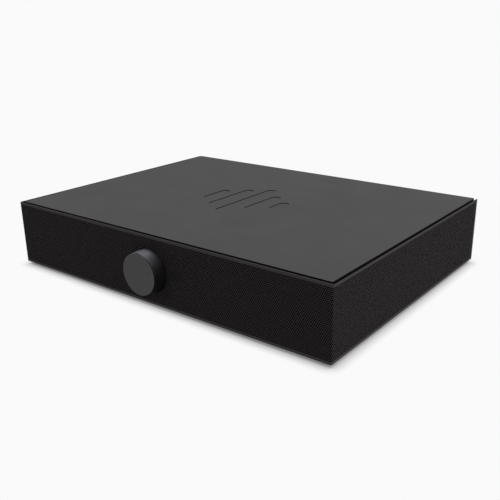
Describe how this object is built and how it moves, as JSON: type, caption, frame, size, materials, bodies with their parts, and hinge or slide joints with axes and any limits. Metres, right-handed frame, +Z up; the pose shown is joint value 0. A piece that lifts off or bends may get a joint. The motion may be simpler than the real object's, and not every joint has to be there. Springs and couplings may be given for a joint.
{
  "type": "desktop dac speaker base",
  "caption": "Low wide powered speaker base with DAC inputs: perforated grille round front and sides, flat slab top, one large front knob, sockets at the back.",
  "frame": {"origin": "on the surface it stands on, under the middle of the whole part's box", "axes": "+X to the right seen from the front, +Y to the back, +Z up; the knob faces -Y"},
  "size_m": [0.45, 0.3632, 0.0816],
  "materials": {
    "grille_black": "black satin powder coat, perforated all over",
    "rail_plastic": "matt black",
    "plate_black": "fine-grained matt charcoal coating on board",
    "soft_pad": "matt",
    "raw_board": "unpainted fibreboard",
    "cabinet_black": "matt black paint on fibreboard",
    "panel_black": "fine textured black powder coat",
    "screw_black": "black oxide",
    "screw_steel": "zinc plated",
    "foot_rubber": "matt black",
    "knob_grey": "matt dark anodised",
    "bare_steel": "nickel plated",
    "pale_plastic": "matt",
    "encoder_metal": "tin plated",
    "board_green": "solder mask",
    "board_tan": "bare laminate",
    "motor_black": "black coated",
    "dome_cloth": "coated cloth",
    "chip_black": "matt",
    "capacitor_sleeve": "shrunk sleeve",
    "bare_aluminium": "extruded",
    "core_brown": "varnished laminations",
    "standoff_brass": "turned",
    "cable_grey": "matt",
    "lead_red": "satin insulation",
    "socket_black": "matt moulding",
    "rocker_black": "satin moulding",
    "post_brass": "gold plated",
    "basket_black": "black paint on pressed steel",
    "magnet_iron": "ferrite and plated plates",
    "cone_black": "pressed pulp, matt",
    "surround_rubber": "satin rubber"
  },
  "bodies": {
    "chassis": {"grille": "grille_black", "grille_rails": "rail_plastic", "top_plate": "plate_black", "plate_pads": "soft_pad", "inner_lid": "raw_board", "front_baffle": "cabinet_black", "left_baffle": "cabinet_black", "right_baffle": "cabinet_black", "bottom_panel": "cabinet_black", "rear_panel": "panel_black", "rear_screws": "screw_black", "bay_wall": "raw_board", "left_partition": "raw_board", "right_partition": "raw_board", "feet": "foot_rubber", "foot_screws": "screw_steel", "encoder_body": "encoder_metal", "encoder_nut": "bare_steel", "control_board": "board_green", "left_woofer_basket": "basket_black", "left_woofer_magnet": "magnet_iron", "left_woofer_surround": "surround_rubber", "right_woofer_basket": "basket_black", "right_woofer_magnet": "magnet_iron", "right_woofer_surround": "surround_rubber", "left_tweeter": "motor_black", "right_tweeter": "motor_black", "driver_screws": "screw_black", "main_board": "board_green", "main_chips": "chip_black", "capacitors": "capacitor_sleeve", "heat_sink": "bare_aluminium", "power_board": "board_tan", "transformer": "core_brown", "standoffs": "standoff_brass", "ribbon_cable": "cable_grey", "speaker_leads": "lead_red", "mains_inlet": "socket_black", "power_switch": "socket_black", "optical_socket": "socket_black", "usb_socket": "bare_steel", "line_jacks": "socket_black", "phono_jacks": "socket_black", "sub_jack": "socket_black", "headphone_jack": "bare_steel", "ground_post": "post_brass", "input_switch": "encoder_metal"},
    "knob_push": {"encoder_plunger": "pale_plastic"},
    "knob": {"knob": "knob_grey", "knob_set_screw": "screw_steel", "encoder_shaft": "bare_steel"},
    "rocker": {"power_rocker": "rocker_black"},
    "shutter": {"optical_shutter": "rocker_black"},
    "input_slider": {"input_slider": "rocker_black"},
    "ground_washer": {"ground_washer": "post_brass"},
    "ground_nut": {"ground_nut": "post_brass"},
    "left_woofer_cone": {"left_woofer_cone": "cone_black"},
    "right_woofer_cone": {"right_woofer_cone": "cone_black"},
    "left_dome": {"left_dome": "dome_cloth"},
    "right_dome": {"right_dome": "dome_cloth"}
  },
  "joints": [
    {"name": "knob_push", "type": "slide", "parent": "chassis", "child": "knob_push", "axis": [0, 1, 0], "range_m": [0, 0.0008], "stiffness_N_per_m": 2500},
    {"name": "knob_turn", "type": "hinge", "parent": "knob_push", "child": "knob", "pos_m": [0, -0.1654, 0.0426], "axis": [0, 1, 0], "continuous": true},
    {"name": "power_rocker_tilt", "type": "hinge", "parent": "chassis", "child": "rocker", "pos_m": [0.15, 0.1656, 0.04], "axis": [1, 0, 0], "range_deg": [0, 18]},
    {"name": "optical_shutter_swing", "type": "hinge", "parent": "chassis", "child": "shutter", "pos_m": [0.072, 0.1642, 0.0381], "axis": [-1, 0, 0], "range_deg": [0, 80], "stiffness_Nm_per_rad": 0.0002, "springref_deg": -11.46},
    {"name": "input_select", "type": "slide", "parent": "chassis", "child": "input_slider", "axis": [1, 0, 0], "range_m": [0, 0.004]},
    {"name": "ground_washer_lift", "type": "slide", "parent": "chassis", "child": "ground_washer", "axis": [0, 1, 0], "range_m": [0, 0.0022]},
    {"name": "ground_nut_turn", "type": "hinge", "parent": "ground_washer", "child": "ground_nut", "pos_m": [-0.105, 0.1716, 0.04], "axis": [0, 1, 0], "range_deg": [0, 1080]},
    {"name": "left_woofer_stroke", "type": "slide", "parent": "chassis", "child": "left_woofer_cone", "axis": [0, -1, 0], "range_m": [-0.0025, 0.0025], "stiffness_N_per_m": 800, "deforming": ["left_woofer_surround"]},
    {"name": "left_dome_stroke", "type": "slide", "parent": "chassis", "child": "left_dome", "axis": [-1, 0, 0], "range_m": [-0.0004, 0.0004], "stiffness_N_per_m": 200},
    {"name": "right_woofer_stroke", "type": "slide", "parent": "chassis", "child": "right_woofer_cone", "axis": [0, -1, 0], "range_m": [-0.0025, 0.0025], "stiffness_N_per_m": 800, "deforming": ["right_woofer_surround"]},
    {"name": "right_dome_stroke", "type": "slide", "parent": "chassis", "child": "right_dome", "axis": [1, 0, 0], "range_m": [-0.0004, 0.0004], "stiffness_N_per_m": 200}
  ],
  "couplings": [
    {"joint": "ground_washer_lift", "follows": "ground_nut_turn", "m_per_rad": 0.00011141}
  ]
}
